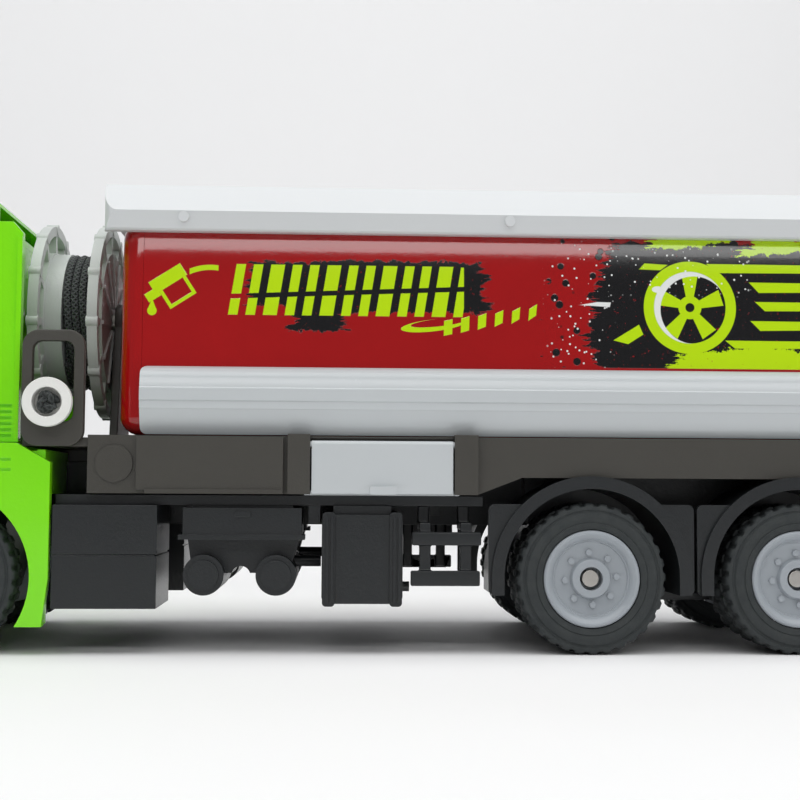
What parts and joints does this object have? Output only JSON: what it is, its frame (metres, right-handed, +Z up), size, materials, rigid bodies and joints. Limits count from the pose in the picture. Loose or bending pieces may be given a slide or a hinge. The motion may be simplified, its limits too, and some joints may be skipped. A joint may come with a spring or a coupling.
{
  "type": "toy tanker truck",
  "caption": "Toy rigid tanker truck: cab, red tank with white roof walkway, hand-wound hose reel with a pull ring, side lockers with hinged doors and rolling wheels on steel axle pins.",
  "frame": {"origin": "on the ground under the middle of the truck's overall box", "axes": "+X towards the rear, the cab faces -X, -Y is the left side with the hose, +Z up"},
  "size_m": [0.208, 0.0624, 0.0749],
  "materials": {
    "black_plastic": "satin moulded black plastic",
    "steel": "plain steel pin",
    "deck_grey": "satin warm dark grey plastic",
    "tank_red": "glossy deep red plastic with printed panel",
    "walkway_white": "smooth off-white plastic",
    "pale_grey": "smooth pale grey plastic",
    "reel_grey": "satin light grey plastic",
    "hose_black": "braided black cord",
    "ring_white": "satin white plastic",
    "cab_green": "glossy lime green plastic",
    "glazing": "tinted clear plastic",
    "lamp_clear": "clear plastic lens",
    "lamp_red": "red plastic lens",
    "rim_silver": "silver grey plastic",
    "tyre": "matt black rubber",
    "cabin_grey": "dark grey plastic"
  },
  "bodies": {
    "chassis": {"chassis_frame": "black_plastic", "chassis_screws": "steel", "deck": "deck_grey", "tank_shell": "tank_red", "tank_front_cap": "tank_red", "tank_rear_cap": "tank_red", "roof_walkway": "walkway_white", "filler_lids": "pale_grey", "pannier_left": "pale_grey", "pannier_right": "pale_grey", "locker_tub_left": "pale_grey", "locker_tub_right": "pale_grey", "reel_stand": "deck_grey", "reel_shaft": "steel", "hose_guide": "deck_grey", "cab_shell": "cab_green", "cab_base": "cab_green", "cab_side_fairings": "cab_green", "roof_deflector": "cab_green", "cab_glazing": "glazing", "cab_interior": "cabin_grey", "steering_wheel": "cabin_grey", "front_grille": "black_plastic", "headlights": "lamp_clear", "mirrors": "black_plastic", "battery_box_left": "black_plastic", "battery_box_right": "black_plastic", "tool_tray_left": "black_plastic", "tool_tray_right": "black_plastic", "air_tanks": "black_plastic", "fuel_tank_left": "black_plastic", "fuel_tank_right": "black_plastic", "side_guard_left": "black_plastic", "side_guard_right": "black_plastic", "mudguards_left": "black_plastic", "mudguards_right": "black_plastic", "rear_lamp_bar": "black_plastic", "tail_lamps": "lamp_red", "rear_ladder": "steel"},
    "front_axle": {"axle_front": "steel", "rims_front": "rim_silver", "tyres_front": "tyre"},
    "rear_axle_1": {"axle_rear_1": "steel", "rim_rear_1_left": "rim_silver", "rim_rear_1_right": "rim_silver", "tyres_rear_1_left": "tyre", "tyres_rear_1_right": "tyre"},
    "rear_axle_2": {"axle_rear_2": "steel", "rim_rear_2_left": "rim_silver", "rim_rear_2_right": "rim_silver", "tyres_rear_2_left": "tyre", "tyres_rear_2_right": "tyre"},
    "reel": {"hose_reel": "reel_grey", "reel_flange": "reel_grey", "hose_winding": "hose_black"},
    "hose_end": {"hose_lead": "hose_black", "hose_end_ring": "ring_white"},
    "door_left": {"locker_door_left": "pale_grey"},
    "door_right": {"locker_door_right": "pale_grey"}
  },
  "joints": [
    {"name": "front_axle_roll", "type": "hinge", "parent": "chassis", "child": "front_axle", "pos_m": [-0.069, 0, 0.012], "axis": [0, 1, 0], "continuous": true},
    {"name": "rear_axle_1_roll", "type": "hinge", "parent": "chassis", "child": "rear_axle_1", "pos_m": [0.0335, 0, 0.012], "axis": [0, 1, 0], "continuous": true},
    {"name": "rear_axle_2_roll", "type": "hinge", "parent": "chassis", "child": "rear_axle_2", "pos_m": [0.067, 0, 0.012], "axis": [0, 1, 0], "continuous": true},
    {"name": "reel_turn", "type": "hinge", "parent": "chassis", "child": "reel", "pos_m": [-0.052, 0, 0.0553], "axis": [-1, 0, 0], "range_deg": [0, 302]},
    {"name": "hose_pull", "type": "slide", "parent": "chassis", "child": "hose_end", "axis": [0, -0.9877, -0.1564], "range_m": [0, 0.06]},
    {"name": "door_left_swing", "type": "hinge", "parent": "chassis", "child": "door_left", "pos_m": [0, -0.0277, 0.0331], "axis": [-1, 0, 0], "range_deg": [0, 100]},
    {"name": "door_right_swing", "type": "hinge", "parent": "chassis", "child": "door_right", "pos_m": [0, 0.0277, 0.0331], "axis": [1, 0, 0], "range_deg": [0, 100]}
  ],
  "couplings": [
    {"joint": "hose_pull", "follows": "reel_turn", "m_per_rad": 0.011375}
  ]
}
